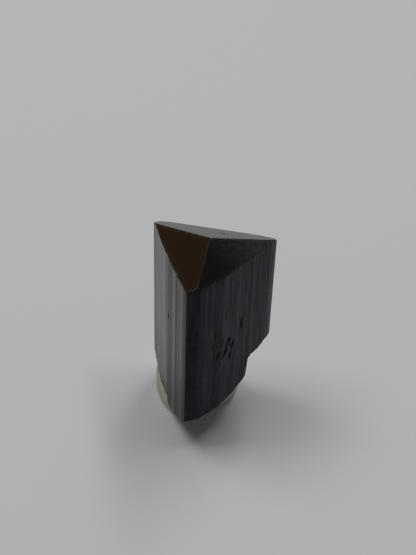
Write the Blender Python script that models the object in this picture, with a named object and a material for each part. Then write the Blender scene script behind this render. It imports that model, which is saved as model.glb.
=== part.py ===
"""A black tourmaline crystal stood upright on a small pad of mounting putty.

The crystal is a three-sided prism with bulging, striated sides and narrow corner facets. A low
pyramid of three faces ends it at the top, and a stepped break ends it at the bottom. It stands on
the putty, which is pressed up under the break and rests flat on the floor.

Sizes are in millimetres and turn into metres as the meshes are made. The crystal's long axis is
vertical, the floor is at height 0, and an azimuth is in degrees anticlockwise from +X.
"""

import math
import random

import bmesh
import bpy
from mathutils import Matrix, Vector, noise

MM = 0.001

# The crystal as a whole.
HEIGHT = 18.0
PYRAMID_SLOPE = 27.35
BLANK_BOTTOM = 0.4
GAP = 0.3

# The prism's sides, named as seen from the front, in order round the axis. Each is a run of growth
# plates, given as (place along the side, distance from the axis).
AZIMUTHS = {"left": -159.6, "right": -39.6, "back": 80.4}
PLATES = {
    "left": (
        (-5.0, 2.86), (-4.3, 2.90), (-2.9, 3.03), (-1.35, 3.11), (-1.2, 3.06), (-0.8, 3.07),
        (-0.65, 3.13), (0.7, 3.17), (1.0, 3.14), (1.2, 3.17), (2.9, 3.15), (3.7, 3.13),
    ),
    "right": (
        (-3.9, 2.50), (-3.3, 2.62), (-2.7, 2.71), (-2.5, 2.62), (-1.5, 2.79), (-1.0, 2.74),
        (0.2, 2.79), (0.6, 2.72), (2.2, 2.74), (2.5, 2.66), (4.4, 2.67), (4.5, 2.76), (4.8, 2.76),
    ),
    "back": (
        (-4.4, 3.42), (-3.4, 3.75), (-2.4, 3.89), (-0.8, 4.03), (0.8, 4.12), (2.4, 4.20),
        (3.2, 4.29), (4.1, 4.32), (4.8, 4.10),
    ),
}

# Narrow facets that cut the prism's corners, as (azimuth, distance from the axis).
CORNER_FACETS = (
    (-87.0, 4.54), (-56.0, 3.49),
    (12.5, 5.465), (49.0, 5.177),
    (98.0, 5.338), (150.0, 5.925), (182.6, 4.32),
)

# Striations: narrow strips of each side that stand in or out a little.
STRIA_WIDTHS = (0.12, 0.42)
STRIA_RELIEF = 0.022
STRIA_RISER = 0.03
STRIA_SEED = 41

# The break across the bottom: a shell-shaped hollow, a chip that cuts up to the left corner, and a
# steep step to a higher shelf at the right corner.
HOLLOW_CENTRE = (-3.4, 0.4)
HOLLOW_HEIGHT = 0.78
HOLLOW_RADII = (6.95, 6.75)
CHIP_START = (-3.8, 1.65, 0.95)
CHIP_RISE = 0.78
SHELF_START = 2.08
SHELF_HEIGHT = 5.92
SHELF_CURL = 0.045
RISER_WIDTH = 0.32
RISER_WAVE = 0.3
WAVE_TURN = 1.3
HACKLES = ((1.9, 0.10), (0.7, 0.06))
BREAK_REACH = 6.2
BREAK_CELLS = 56
BELOW_THE_FLOOR = -1.0

# Growth pits in the right side, as (place along the side, height, length, width, lean in degrees).
PITS = (
    (0.93, 10.55, 1.30, 0.26, -3.0),
    (-1.45, 10.07, 0.86, 0.16, 6.0),
    (-0.68, 9.65, 0.75, 0.34, 20.0),
    (-0.96, 8.76, 0.62, 0.27, 28.0),
    (-0.14, 8.78, 0.85, 0.20, 14.0),
    (-0.40, 7.94, 0.66, 0.20, 20.0),
    (-1.86, 8.98, 0.44, 0.24, 30.0),
)
PIT_DEPTH = 0.16

# The putty pad: points round its edge as (x, y, height of the edge), and its profile from the foot
# up, as (share of the way in to the middle, share of the height).
PUTTY_MIDDLE = (-0.9, 1.9, 3.3)
PUTTY_EDGE = (
    (-4.22, 3.80, 2.2), (-4.34, 2.80, 1.9), (-4.20, 1.70, 1.7), (-3.90, 0.70, 1.6),
    (-3.45, -0.25, 1.5), (-2.80, -1.00, 1.5), (-1.50, -1.45, 1.5), (-0.10, -1.20, 1.7),
    (1.25, -0.15, 1.7), (2.35, 0.95, 1.9), (2.90, 2.30, 2.5), (2.80, 3.50, 2.9),
    (1.75, 4.15, 2.9), (0.00, 4.45, 2.8), (-2.00, 4.85, 2.9), (-3.50, 4.70, 2.6),
)
PUTTY_PROFILE = (
    (0.05, 0.0), (0.01, 0.16), (0.0, 0.42), (0.02, 0.68), (0.08, 0.88), (0.18, 0.97),
    (0.36, 1.0), (0.66, 1.0),
)
EDGE_STEPS = 5
PUTTY_LUMPS = (1.4, 0.09)

SCHORL_BLACK = (0.010, 0.009, 0.009, 1.0)
SCHORL_ROUGHNESS = 0.22
PUTTY_CREAM = (0.52, 0.47, 0.33, 1.0)
PUTTY_ROUGHNESS = 0.62


def facing(azimuth):
    """The level unit vector that points along an azimuth."""
    return Vector((math.cos(math.radians(azimuth)), math.sin(math.radians(azimuth))))


def on_side(name, along, distance):
    """A point of a prism side, from its place along the side and its distance from the axis."""
    normal = facing(AZIMUTHS[name])
    return normal * distance + Vector((-normal.y, normal.x)) * along


def plate_distance(name, along):
    """How far the plates of a side stand from the axis at one place along it."""
    plates = PLATES[name]
    for (start, low), (end, high) in zip(plates, plates[1:]):
        if along <= end:
            return low + (high - low) * (along - start) / (end - start)
    return plates[-1][1]


def corner(before, after):
    """Where two neighbouring sides would meet if nothing cut their corner off."""
    first, second = facing(AZIMUTHS[before]), facing(AZIMUTHS[after])
    reach, turn = PLATES[before][-1][1], PLATES[after][0][1]
    cross = first.x * second.y - first.y * second.x
    return Vector((
        (reach * second.y - turn * first.y) / cross,
        (turn * first.x - reach * second.x) / cross,
    ))


def striated_side(name, chance):
    """The outline of one side, as strips that each stand in or out by a little."""
    place, end = PLATES[name][0][0], PLATES[name][-1][0]
    points = []
    while place < end - STRIA_WIDTHS[0]:
        stop = min(place + chance.uniform(*STRIA_WIDTHS), end)
        relief = chance.uniform(-STRIA_RELIEF, STRIA_RELIEF)
        for along in (place + STRIA_RISER, stop):
            points.append(on_side(name, along, plate_distance(name, along) + relief))
        place = stop
    return points


def outline():
    """The prism's cross-section, anticlockwise, with its corners still sharp."""
    chance = random.Random(STRIA_SEED)
    names = list(AZIMUTHS)
    points = []
    for before, name in zip(names[-1:] + names, names):
        points += [corner(before, name)] + striated_side(name, chance)
    return points


def smooth_step(value):
    value = min(max(value, 0.0), 1.0)
    return value * value * (3.0 - 2.0 * value)


def break_height(x, y):
    """The height of the broken base over the floor."""
    hollow = HOLLOW_HEIGHT + 0.5 * (
        (x - HOLLOW_CENTRE[0]) ** 2 / HOLLOW_RADII[0] + (y - HOLLOW_CENTRE[1]) ** 2 / HOLLOW_RADII[1]
    )
    left, right = facing(AZIMUTHS["left"]), facing(AZIMUTHS["right"])
    up_the_chip = (x - CHIP_START[0]) * left.y - (y - CHIP_START[1]) * left.x
    lower = max(hollow, CHIP_START[2] + CHIP_RISE * up_the_chip)
    along, inward = y * right.x - x * right.y, x * right.x + y * right.y
    past = along - SHELF_START - RISER_WAVE * math.sin(WAVE_TURN * inward)
    shelf = SHELF_HEIGHT + SHELF_CURL * past ** 3
    height = lower + (max(shelf, lower) - lower) * smooth_step(past / RISER_WIDTH + 0.5)
    for scale, relief in HACKLES:
        height += relief * noise.noise(Vector((x / scale, y / scale, scale)))
    return height


def mesh_object(name, mesh_builder):
    mesh = bpy.data.meshes.new(name)
    mesh_builder.to_mesh(mesh)
    mesh_builder.free()
    made = bpy.data.objects.new(name, mesh)
    bpy.context.scene.collection.objects.link(made)
    return made


def cutter(name, mesh_builder):
    """An object that only cuts others, so it is shown as wire and never rendered."""
    made = mesh_object(name, mesh_builder)
    made.hide_render = True
    made.display_type = "WIRE"
    return made


def cut(target, tool):
    boolean = target.modifiers.new(tool.name, "BOOLEAN")
    boolean.operation = "DIFFERENCE"
    boolean.solver = "EXACT"
    boolean.object = tool


def trim(builder, point, normal):
    """Cuts away what lies past a plane, and closes the cut with one flat face."""
    everything = builder.verts[:] + builder.edges[:] + builder.faces[:]
    result = bmesh.ops.bisect_plane(
        builder, geom=everything, plane_co=point * MM, plane_no=normal, clear_outer=True
    )
    edges = [item for item in result["geom_cut"] if isinstance(item, bmesh.types.BMEdge)]
    if edges:
        bmesh.ops.edgeloop_fill(builder, edges=edges)


def crystal_blank():
    """The whole crystal before it broke: the prism, its corner facets and the pyramid."""
    builder = bmesh.new()
    ring = [builder.verts.new((p.x * MM, p.y * MM, BLANK_BOTTOM * MM)) for p in outline()]
    bottom = builder.faces.new(ring)
    grown = bmesh.ops.extrude_face_region(builder, geom=[bottom])
    lift = Vector((0.0, 0.0, (HEIGHT - BLANK_BOTTOM) * MM))
    top = [item for item in grown["geom"] if isinstance(item, bmesh.types.BMVert)]
    bmesh.ops.translate(builder, verts=top, vec=lift)
    for azimuth, distance in CORNER_FACETS:
        normal = facing(azimuth).to_3d()
        trim(builder, normal * distance, normal)
    apex = Vector((0.0, 0.0, HEIGHT))
    slope = math.radians(PYRAMID_SLOPE)
    for azimuth in AZIMUTHS.values():
        level = facing(azimuth).to_3d()
        trim(builder, apex, level * math.sin(slope) + Vector((0.0, 0.0, math.cos(slope))))
    bmesh.ops.recalc_face_normals(builder, faces=builder.faces)
    return mesh_object("tourmaline_crystal", builder)


def break_cutter(name, offset, far):
    """Everything between the broken surface, shifted by offset, and a level plane at height far.

    The grid runs along and across the right side, so that its lines follow the step."""
    builder = bmesh.new()
    bmesh.ops.create_grid(
        builder, x_segments=BREAK_CELLS, y_segments=BREAK_CELLS, size=BREAK_REACH * MM
    )
    turn = Matrix.Rotation(math.radians(AZIMUTHS["right"]), 3, "Z")
    bmesh.ops.rotate(builder, verts=builder.verts, matrix=turn)
    for vert in builder.verts:
        vert.co.z = (break_height(vert.co.x / MM, vert.co.y / MM) + offset) * MM
    skirt = bmesh.ops.extrude_face_region(builder, geom=builder.faces[:])
    for item in skirt["geom"]:
        if isinstance(item, bmesh.types.BMVert):
            item.co.z = far * MM
    bmesh.ops.recalc_face_normals(builder, faces=builder.faces)
    return cutter(name, builder)


def pit_cutter():
    """Slim eight-sided spindles that lie in the right side, each one sunk to half its thickness."""
    builder = bmesh.new()
    normal = facing(AZIMUTHS["right"]).to_3d()
    across = Vector((-normal.y, normal.x, 0.0))
    for along, height, length, width, lean in PITS:
        middle = on_side("right", along, plate_distance("right", along)).to_3d()
        middle.z = height
        angle = math.radians(lean)
        up = Vector((0.0, 0.0, math.cos(angle))) + across * math.sin(angle)
        flank = across * math.cos(angle) - Vector((0.0, 0.0, math.sin(angle)))
        made = bmesh.ops.create_icosphere(builder, subdivisions=1, radius=1.0)
        for vert in made["verts"]:
            offset = (
                up * vert.co.z * length / 2 + flank * vert.co.x * width / 2
                + normal * vert.co.y * PIT_DEPTH
            )
            vert.co = (middle + offset) * MM
    bmesh.ops.recalc_face_normals(builder, faces=builder.faces)
    return cutter("pit_cutter", builder)


def between(points, steps):
    """A closed smooth curve through points, as a Catmull-Rom spline with steps spans a point."""
    count = len(points)
    curve = []
    for index in range(count):
        a, b, c, d = (Vector(points[(index + shift) % count]) for shift in (-1, 0, 1, 2))
        for step in range(steps):
            t = step / steps
            curve.append(
                b + (c - a) * t / 2
                + (a - b * 2.5 + c * 2 - d / 2) * t * t
                + (b * 1.5 - a / 2 - c * 1.5 + d / 2) * t * t * t
            )
    return curve


def putty_pad():
    """The lump of putty before the crystal was pressed into it, as rings from its foot to its top."""
    builder = bmesh.new()
    middle = Vector(PUTTY_MIDDLE)
    edge = between(PUTTY_EDGE, EDGE_STEPS)
    scale, relief = PUTTY_LUMPS
    rings = []
    for inset, rise in PUTTY_PROFILE:
        ring = []
        for point in edge:
            place = point.lerp(middle, inset)
            height = place.z * rise
            lump = relief * noise.noise(Vector((place.x, place.y, height)) / scale) * (rise > 0)
            outward = (point.xy - middle.xy).normalized() * lump
            spot = (place.x + outward.x, place.y + outward.y, height + lump)
            ring.append(builder.verts.new(Vector(spot) * MM))
        rings.append(ring)
    for lower, upper in zip(rings, rings[1:]):
        for index, vert in enumerate(lower):
            after = (index + 1) % len(lower)
            builder.faces.new((vert, lower[after], upper[after], upper[index]))
    builder.faces.new(reversed(rings[0]))
    builder.faces.new(rings[-1])
    return mesh_object("mounting_putty", builder)


def finish(target, name, colour, roughness):
    material = bpy.data.materials.new(name)
    material.use_nodes = True
    shader = material.node_tree.nodes["Principled BSDF"]
    shader.inputs["Base Color"].default_value = colour
    shader.inputs["Roughness"].default_value = roughness
    shader.inputs["Metallic"].default_value = 0.0
    target.data.materials.append(material)


def centre_over_origin(objects):
    """Hangs the objects on one empty, moved so that the middle of their box is over the origin."""
    bpy.context.view_layer.update()
    graph = bpy.context.evaluated_depsgraph_get()
    shown = [item.evaluated_get(graph) for item in objects if not item.hide_render]
    corners = [Vector(corner_point) for item in shown for corner_point in item.bound_box]
    axis = bpy.data.objects.new("long_axis", None)
    bpy.context.scene.collection.objects.link(axis)
    axis.location.x = -(min(c.x for c in corners) + max(c.x for c in corners)) / 2
    axis.location.y = -(min(c.y for c in corners) + max(c.y for c in corners)) / 2
    for item in objects:
        item.parent = axis


for old in list(bpy.data.objects):
    bpy.data.objects.remove(old)

crystal = crystal_blank()
finish(crystal, "black_schorl", SCHORL_BLACK, SCHORL_ROUGHNESS)
below = break_cutter("below_the_break", 0.0, BELOW_THE_FLOOR)
pits = pit_cutter()
cut(crystal, below)
cut(crystal, pits)

putty = putty_pad()
finish(putty, "cream_putty", PUTTY_CREAM, PUTTY_ROUGHNESS)
putty.data.shade_smooth()
above = break_cutter("above_the_putty", -GAP, HEIGHT)
cut(putty, above)

centre_over_origin([crystal, putty, below, above, pits])
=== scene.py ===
# %% [markdown]
# # A black tourmaline crystal on its putty
# Schorl, the black tourmaline, grows as long three-sided prisms. The sides bulge a little and carry
# fine lines that run all the way up, a low pyramid of three faces ends the prism, and where it was
# broken from the rock it shows a rough, shell-shaped break. This crystal stands on a pea-sized pad
# of mounting putty. The lesson builds both pieces in code, in millimetres, and turns them into metres
# as the meshes are made.
#
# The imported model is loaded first. It is the fixed frame, so every piece here takes its place from it.

# %% Load the frame
import math
import random

import bpy
import numpy as np
from mathutils import Matrix, Vector, geometry, noise


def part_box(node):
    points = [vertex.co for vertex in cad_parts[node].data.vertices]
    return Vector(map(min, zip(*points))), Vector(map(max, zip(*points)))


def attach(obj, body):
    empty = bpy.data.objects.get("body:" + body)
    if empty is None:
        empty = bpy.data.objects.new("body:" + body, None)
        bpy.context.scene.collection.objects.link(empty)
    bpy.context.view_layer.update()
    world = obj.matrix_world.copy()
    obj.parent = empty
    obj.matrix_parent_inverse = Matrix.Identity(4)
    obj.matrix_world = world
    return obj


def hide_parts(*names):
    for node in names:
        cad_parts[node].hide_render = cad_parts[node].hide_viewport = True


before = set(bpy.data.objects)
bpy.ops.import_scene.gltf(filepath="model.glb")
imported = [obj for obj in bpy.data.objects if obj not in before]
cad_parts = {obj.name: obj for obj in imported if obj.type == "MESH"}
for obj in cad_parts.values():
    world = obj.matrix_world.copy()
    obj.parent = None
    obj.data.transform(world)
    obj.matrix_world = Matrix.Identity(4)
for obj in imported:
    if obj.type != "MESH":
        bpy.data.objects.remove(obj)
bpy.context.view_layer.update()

MM = 0.001
crystal_low, crystal_high = (np.array(corner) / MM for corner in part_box("tourmaline_crystal"))
putty_low, putty_high = (np.array(corner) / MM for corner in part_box("mounting_putty"))
HEIGHT = crystal_high[2]
print("crystal box in mm:", crystal_low.round(3), crystal_high.round(3))
print("putty box in mm:", putty_low.round(3), putty_high.round(3))

# %% [markdown]
# ## The plan of the prism
# Seen from above, the crystal is a triangle with bulging sides. Growth plates lie side by side on each
# of them, a few hundredths of a millimetre proud of each other. A plan like this could be drawn as a
# curve, but a table of plates says more clearly what the crystal is: each row is a place along the
# side and the plate's distance from the long axis. Narrow extra facets cut the three corners off.

# %% Plates and corner facets
PYRAMID_SLOPE = math.radians(27.35)
AZIMUTHS = {"left": -159.6, "right": -39.6, "back": 80.4}
PLATES = {
    "left": (
        (-5.0, 2.86), (-4.3, 2.90), (-2.9, 3.03), (-1.35, 3.11), (-0.8, 3.07),
        (-0.65, 3.13), (0.7, 3.17), (1.0, 3.14), (1.2, 3.17), (2.9, 3.15), (3.7, 3.13),
    ),
    "right": (
        (-3.9, 2.50), (-3.3, 2.62), (-2.7, 2.71), (-2.5, 2.62), (-1.5, 2.79), (-1.0, 2.74),
        (0.2, 2.79), (0.6, 2.72), (2.2, 2.74), (2.5, 2.66), (4.4, 2.67), (4.5, 2.76), (4.8, 2.76),
    ),
    "back": (
        (-4.4, 3.42), (-3.4, 3.75), (-2.4, 3.89), (-0.8, 4.03), (0.8, 4.12), (2.4, 4.20),
        (3.2, 4.29), (4.1, 4.32), (4.8, 4.10),
    ),
}
CORNER_FACETS = (
    (-87.0, 4.54), (-56.0, 3.49),
    (12.5, 5.465), (49.0, 5.177),
    (98.0, 5.338), (150.0, 5.925), (182.6, 4.32),
)
STRIA_WIDTHS = (0.12, 0.42)
STRIA_RELIEF = 0.022
STRIA_SHARES = {"left": 0.35, "right": 0.30, "back": 1.0}
STRIA_RISER = 0.03
STRIA_SEED = 41


def facing(azimuth):
    """The level unit vector that points along an azimuth, in degrees."""
    return np.array((math.cos(math.radians(azimuth)), math.sin(math.radians(azimuth))))


def sideways(normal):
    """The level direction that runs along a side, anticlockwise round the axis."""
    return np.array((-normal[1], normal[0]))


def plan_corner(before, after):
    """Where two neighbouring sides would meet if nothing cut their corner off."""
    rows = np.array((facing(AZIMUTHS[before]), facing(AZIMUTHS[after])))
    return np.linalg.solve(rows, (PLATES[before][-1][1], PLATES[after][0][1]))


def plan_side(name, chance):
    """One side of the plan, as strips that each stand in or out by a little."""
    normal = facing(AZIMUTHS[name])
    places, distances = zip(*PLATES[name])
    place, points = places[0], []
    while place < places[-1] - STRIA_WIDTHS[0]:
        stop = min(place + chance.uniform(*STRIA_WIDTHS), places[-1])
        relief = chance.uniform(-STRIA_RELIEF, STRIA_RELIEF)
        for along in (place + STRIA_RISER, stop):
            distance = np.interp(along, places, distances) + relief * STRIA_SHARES[name]
            points.append(normal * distance + sideways(normal) * along)
        place = stop
    return points


chance = random.Random(STRIA_SEED)
names = list(AZIMUTHS)
plan = []
for before, name in zip(names[-1:] + names, names):
    points = [plan_corner(before, name)] + plan_side(name, chance)
    plan += [(point, name) for point in points]
print("the plan has", len(plan), "points before its corners are cut")

# %% [markdown]
# A corner facet is one straight cut across the plan. The cut keeps what lies inside a line and adds
# the two points where the line crosses the plan. Each edge remembers which face of the crystal it
# belongs to, because the faces get different finishes later.

# %% Cut the corners and find the long axis
BEARINGS = dict(AZIMUTHS)


def cut_corner(ring, name):
    """The plan without what lies past one corner facet."""
    normal, distance = facing(BEARINGS[name]), facet_distances[name]
    kept = []
    for (here, label), (there, _) in zip(ring, ring[1:] + ring[:1]):
        past, next_past = here @ normal - distance, there @ normal - distance
        if past <= 0:
            kept.append((here, label))
        if (past <= 0) != (next_past <= 0):
            crossing = here + (there - here) * past / (past - next_past)
            kept.append((crossing, name if past <= 0 else label))
    return kept


facet_distances = {}
for azimuth, distance in CORNER_FACETS:
    name = f"facet at {azimuth:g}"
    BEARINGS[name], facet_distances[name] = azimuth, distance
    plan = cut_corner(plan, name)
plan_points = np.array([point for point, _ in plan])
AXIS = crystal_low[:2] - plan_points.min(0)
print("the long axis stands at", AXIS.round(4), "mm; the far side agrees within",
      np.abs(crystal_high[:2] - plan_points.max(0) - AXIS).max().round(4), "mm")

# %% [markdown]
# ## The break
# Tourmaline has no cleavage, so it breaks like glass: a shallow shell-shaped hollow, a chip that runs
# up to one corner and a steep step to a higher shelf. One function gives the height of the broken base
# over the floor at any place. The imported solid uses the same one, and this lesson only adds finer
# hackles, the small steps that a crack leaves as it runs.

# %% Height of the broken base
HOLLOW_CENTRE = (-3.4, 0.4)
HOLLOW_HEIGHT = 0.78
HOLLOW_RADII = (6.95, 6.75)
CHIP_START = (-3.8, 1.65, 0.95)
CHIP_RISE = 0.78
SHELF_START = 2.08
SHELF_HEIGHT = 5.92
SHELF_CURL = 0.045
RISER_WIDTH = 0.32
RISER_WAVE = 0.3
WAVE_TURN = 1.3
HACKLES = ((1.9, 0.10), (0.7, 0.06))
FINE_HACKLES = ((0.30, 0.030), (0.13, 0.012))


def smooth_step(value):
    value = min(max(value, 0.0), 1.0)
    return value * value * (3.0 - 2.0 * value)


def break_height(x, y, hackles=HACKLES + FINE_HACKLES):
    """The height of the broken base over the floor."""
    hollow = HOLLOW_HEIGHT + 0.5 * (
        (x - HOLLOW_CENTRE[0]) ** 2 / HOLLOW_RADII[0] + (y - HOLLOW_CENTRE[1]) ** 2 / HOLLOW_RADII[1]
    )
    left, right = facing(AZIMUTHS["left"]), facing(AZIMUTHS["right"])
    up_the_chip = (x - CHIP_START[0]) * left[1] - (y - CHIP_START[1]) * left[0]
    lower = max(hollow, CHIP_START[2] + CHIP_RISE * up_the_chip)
    along, inward = y * right[0] - x * right[1], x * right[0] + y * right[1]
    past = along - SHELF_START - RISER_WAVE * math.sin(WAVE_TURN * inward)
    shelf = SHELF_HEIGHT + SHELF_CURL * past ** 3
    height = lower + (max(shelf, lower) - lower) * smooth_step(past / RISER_WIDTH + 0.5)
    for scale, relief in hackles:
        height += relief * noise.noise(Vector((x / scale, y / scale, scale)))
    return height


def break_heights(places):
    return np.array([break_height(float(x), float(y)) for x, y in places])


print("the base is", round(break_height(*HOLLOW_CENTRE), 2), "mm up in the hollow and",
      round(break_height(3.5, 1.5), 2), "mm up on the shelf")

# %% [markdown]
# ## Striations as real steps
# The lines on the sides are the edges of thin growth layers, so they are steps in the surface, not
# paint. They could be a bump texture, but then the outline and the reflections along the edges would
# stay smooth. Here each side is cut into narrow treads, with a tiny riser between neighbours, and a
# tread is a column of the mesh. The mesh needs only a few columns a tread to be crisp.

# %% Divide the sides into treads
CHAMFER = 0.02
TREAD_WIDTH = 0.105
TREAD_SPREAD = 0.4
TREAD_RISER = 0.014
COLUMN_SPACING = 0.055
NARROWEST = 1.5 * STRIA_RISER
TREAD_SEED = 23
chance = np.random.default_rng(TREAD_SEED)


def runs_of(ring):
    """The plan as one run of points for each face of the crystal, each ending where the next starts."""
    start = next(i for i in range(len(ring)) if ring[i][1] != ring[i - 1][1])
    ring = ring[start:] + ring[:start]
    grouped = []
    for index, (point, label) in enumerate(ring):
        if index == 0 or label != ring[index - 1][1]:
            grouped.append((label, []))
        grouped[-1][1].append(point)
    return [
        (label, np.array(points + following[:1]))
        for (label, points), (_, following) in zip(grouped, grouped[1:] + grouped[:1])
    ]


columns = {key: [] for key in ("x", "y", "label", "along", "tread", "middle", "slope", "from_corner")}
tread_count = 0
for label, points in runs_of(plan):
    normal = facing(BEARINGS[label])
    across = sideways(normal)
    alongs, distances = points @ across, points @ normal
    first, last = alongs[0] + CHAMFER, alongs[-1] - CHAMFER
    for start, stop in zip(alongs, alongs[1:]):
        start, stop = max(start, first), min(stop, last)
        if stop - start < NARROWEST:
            continue
        count = max(1, round((stop - start) / TREAD_WIDTH))
        shares = np.cumsum(1.0 + TREAD_SPREAD * chance.uniform(-1, 1, count))
        edges = start + (stop - start) * np.concatenate(((0.0,), shares / shares[-1]))
        for low, high in zip(edges, edges[1:]):
            steps = max(1, math.ceil((high - low) / COLUMN_SPACING))
            gap = 0.5 * TREAD_RISER
            rise = np.interp(high, alongs, distances) - np.interp(low, alongs, distances)
            for along in np.linspace(low + gap, high - gap, steps + 1):
                place = normal * np.interp(along, alongs, distances) + across * along
                row = (place[0], place[1], label, along, tread_count, (low + high) / 2,
                       rise / (high - low), min(along - alongs[0], alongs[-1] - along))
                for key, value in zip(columns, row):
                    columns[key].append(value)
            tread_count += 1
print(tread_count, "treads and", len(columns["x"]), "columns round the crystal")

# %% [markdown]
# The three ridges of the pyramid run down to the prism's corners. A column is put exactly where each
# ridge meets the rim, so that the ridges stay straight and sharp.

# %% Columns where the ridges come down
RIDGES = (-99.6, 20.4, 140.4)


def add_ridge_column(azimuth):
    """Puts one more column where a ridge's line crosses the plan."""
    way = facing(azimuth)
    line = sideways(way)
    side = np.array(columns["x"]) * line[0] + np.array(columns["y"]) * line[1]
    ahead = np.array(columns["x"]) * way[0] + np.array(columns["y"]) * way[1] > 0
    crossing = np.flatnonzero((side <= 0) & (np.roll(side, -1) > 0) & ahead)[0]
    after = (crossing + 1) % len(side)
    share = side[crossing] / (side[crossing] - side[after])
    same = columns["label"][crossing] == columns["label"][after]
    nearer = crossing if share < 0.5 else after
    for key, values in columns.items():
        if key in ("x", "y") or (key in ("along", "from_corner") and same):
            values.insert(crossing + 1, values[crossing] + share * (values[after] - values[crossing]))
        else:
            values.insert(crossing + 1, values[nearer])


for azimuth in RIDGES:
    add_ridge_column(azimuth)
base_plan = np.stack((columns["x"], columns["y"]), 1)
labels, along, tread, middle, slope, from_corner = (
    np.array(columns[key]) for key in ("label", "along", "tread", "middle", "slope", "from_corner")
)
normals = np.array([facing(BEARINGS[label]) for label in labels])
azimuths = np.degrees(np.arctan2(base_plan[:, 1], base_plan[:, 0]))
ridge_columns = [int(np.abs(azimuths - azimuth).argmin()) for azimuth in RIDGES]
print(len(labels), "columns; the ridges come down at columns", ridge_columns)

# %% [markdown]
# ## Rows of the sides
# The rows of the mesh follow the crystal too. They crowd together at the rim and at the break, where
# small chips sit, and in the band of the growth pits. Elsewhere a tread hardly changes, so a few rows
# are enough.

# %% Heights of the rows
LOW_LEVEL, PIT_TOP, HIGH_LEVEL = 7.55, 11.45, 15.0
FOOT_ROWS, PIT_ROWS, UPPER_ROWS, RIM_ROWS = 8, 44, 8, 4
EDGE_ROWS = (0.02, 0.06, 0.12, 0.20, 0.32)


def reaches(places):
    """How far places lie towards each of the three sides, in the order left, right, back."""
    return np.array([places @ facing(azimuth) for azimuth in AZIMUTHS.values()])


def pyramid_height(places):
    """The height of the pyramid's faces over the floor, at places measured from the axis."""
    return HEIGHT - math.tan(PYRAMID_SLOPE) * reaches(places).max(0)


foot, rim = break_heights(base_plan), pyramid_height(base_plan)
low, high = foot + EDGE_ROWS[-1], rim - EDGE_ROWS[-1]
levels = [foot + step for step in EDGE_ROWS]
levels += [low + (LOW_LEVEL - low) * share for share in np.linspace(0, 1, FOOT_ROWS)[1:-1]]
levels += [np.full_like(foot, level) for level in np.linspace(LOW_LEVEL, PIT_TOP, PIT_ROWS)]
levels += [np.full_like(foot, level) for level in np.linspace(PIT_TOP, HIGH_LEVEL, UPPER_ROWS)[1:]]
levels += [HIGH_LEVEL + (high - HIGH_LEVEL) * share for share in np.linspace(0, 1, RIM_ROWS)[1:-1]]
levels += [rim - step for step in reversed(EDGE_ROWS)]
levels = np.array(levels)
print(len(levels), "rows from", foot.min().round(2), "to", rim.max().round(2), "mm")

# %% [markdown]
# ## Relief of the treads
# Every tread stands a few microns in or out and leans a little, and both change slowly on the way up,
# as layers start and die out. The lean matters most: it decides whether a tread mirrors the bright
# floor or something darker, so it is what makes the stripes. The leans of the broad bands come from a
# table, place by place along the side. The left side's rows weren't designed: most of them were worked
# out by a fit to how bright each band should look. The fine leans come from random knots, one row a
# tread, with a smooth blend between the knots. Near the foot the left side also turns in a little, as
# if it tapered.

# %% Offsets and leans
KNOT_SPACING = 1.6
FOOT_LEAN, FOOT_LEAN_TOP, FOOT_LEAN_FADE = -0.06, 8.0, 3.5
FACET_OFFSET, FACET_JITTER = 0.003, 0.02
OFFSETS = {"left": 0.0025, "right": 0.006, "back": 0.006}
JITTERS = {"left": 0.014, "right": 0.06, "back": 0.05}
HOLD_WIDTH = 0.07
LEANS = {
    "left": (
        (-5.0, -0.05), (-4.4, -0.03), (-3.95, 0.008), (-3.2, -0.003), (-2.6, -0.026), (-2.2, -0.004),
        (-1.8, 0.023), (-1.3, 0.008), (-1.0, -0.087), (-0.6, -0.13), (-0.25, -0.19), (0.0, -0.205),
        (0.3, -0.193), (0.55, -0.16), (0.8, -0.08), (1.05, -0.02), (1.3, -0.05), (1.45, -0.20),
        (1.6, -0.36), (1.78, -0.28), (2.05, -0.13), (2.3, -0.19), (2.55, -0.17), (2.75, -0.079),
        (3.0, -0.13), (3.3, -0.29), (3.6, -0.39), (3.75, -0.65),
    ),
    "right": ((-4.0, 0.05), (0.0, -0.03), (2.0, -0.05), (4.8, -0.08)),
    "back": ((-4.5, 0.0), (4.8, 0.0)),
}
knots = chance.uniform(-1, 1, (2, tread_count, math.ceil(HEIGHT / KNOT_SPACING) + 2))


def knotted(table, heights):
    """Reads the random table at each column's tread and at the given heights."""
    spot = heights / KNOT_SPACING
    lower = np.floor(spot).astype(int)
    share = spot - lower
    share = share * share * (3 - 2 * share)
    return table[tread, lower] * (1 - share) + table[tread, lower + 1] * share


lean = np.zeros(len(labels))
offset = np.full(len(labels), FACET_OFFSET)
jitter = np.full(len(labels), FACET_JITTER)
for name, table in LEANS.items():
    here = labels == name
    lean[here] = np.interp(middle[here], *zip(*table)) - slope[here]
    offset[here], jitter[here] = OFFSETS[name], JITTERS[name]
held = np.clip(from_corner / HOLD_WIDTH, 0, 1)
turned_in = FOOT_LEAN * (labels == "left") * ((FOOT_LEAN_TOP - levels) / FOOT_LEAN_FADE).clip(0, 1)
relief = offset * knotted(knots[0], levels) * held
relief += (lean + turned_in + jitter * knotted(knots[1], levels)) * (along - middle) * held
print("treads stand in or out by up to", np.abs(relief).max().round(4), "mm")
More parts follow.
